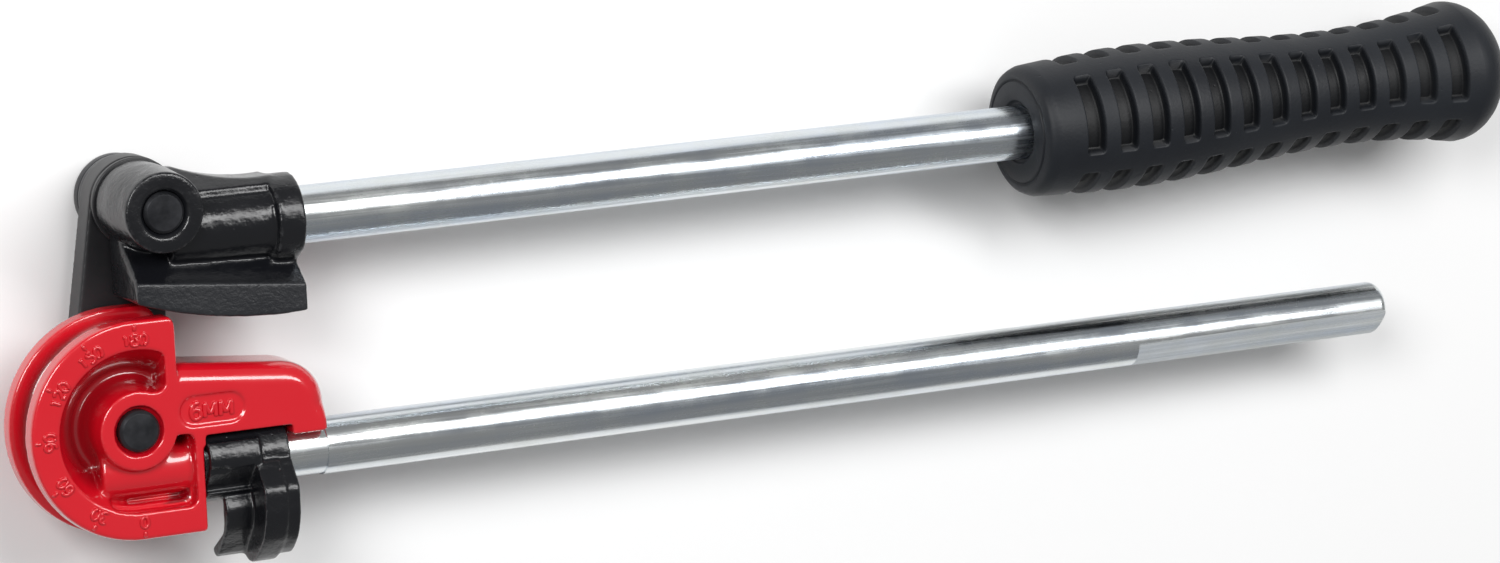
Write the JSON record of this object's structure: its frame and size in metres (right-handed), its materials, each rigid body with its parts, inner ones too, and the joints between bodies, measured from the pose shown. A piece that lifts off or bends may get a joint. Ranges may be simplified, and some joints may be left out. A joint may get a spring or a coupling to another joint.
{
  "type": "manual tube bender",
  "caption": "Hand tube bender with a grooved former, a swinging shoe lever, a tube hook and two rod handles, for small soft tube.",
  "frame": {"origin": "on the pivot pin's axis, at the outer face of the pin's rear head, on which the tool lies", "axes": "+X along the fixed handle towards its free end, +Y from the fixed handle to the swinging one, +Z along the pivot pin towards the side with the scale"},
  "size_m": [0.3013, 0.0768, 0.0314],
  "materials": {
    "red_enamel": "glossy candy red enamel over a casting",
    "black_enamel": "glossy black enamel with a fine cast texture",
    "black_plate": "satin black on rolled flat bar",
    "black_steel": "black oxide, satin",
    "zinc_steel": "bright zinc plated drawn bar",
    "grip_rubber": "matt moulded rubber"
  },
  "bodies": {
    "former": {"former": "red_enamel", "lower_rod": "zinc_steel", "lower_rod_pin": "black_steel", "pivot_pin": "black_steel", "pivot_washer": "black_steel", "pivot_back_washer": "black_steel"},
    "link": {"link_plate": "black_plate", "lever_pin": "black_steel", "lever_washer": "black_plate", "lever_back_washer": "black_steel"},
    "lever": {"lever": "black_enamel", "upper_rod": "zinc_steel", "upper_rod_pin": "black_steel", "grip": "grip_rubber"},
    "hook": {"hook": "black_enamel"}
  },
  "joints": [
    {"name": "link_swing", "type": "hinge", "parent": "former", "child": "link", "pos_m": [0, 0, 0.01765], "axis": [0, 0, 1], "range_deg": [0, 180]},
    {"name": "lever_swing", "type": "hinge", "parent": "link", "child": "lever", "pos_m": [0.00591, 0.03665, 0.01765], "axis": [0, 0, 1], "range_deg": [-2, 110]},
    {"name": "hook_swing", "type": "hinge", "parent": "former", "child": "hook", "pos_m": [0.019, -0.00783, 0.01765], "axis": [-1, 0, 0], "range_deg": [0, 45]}
  ]
}
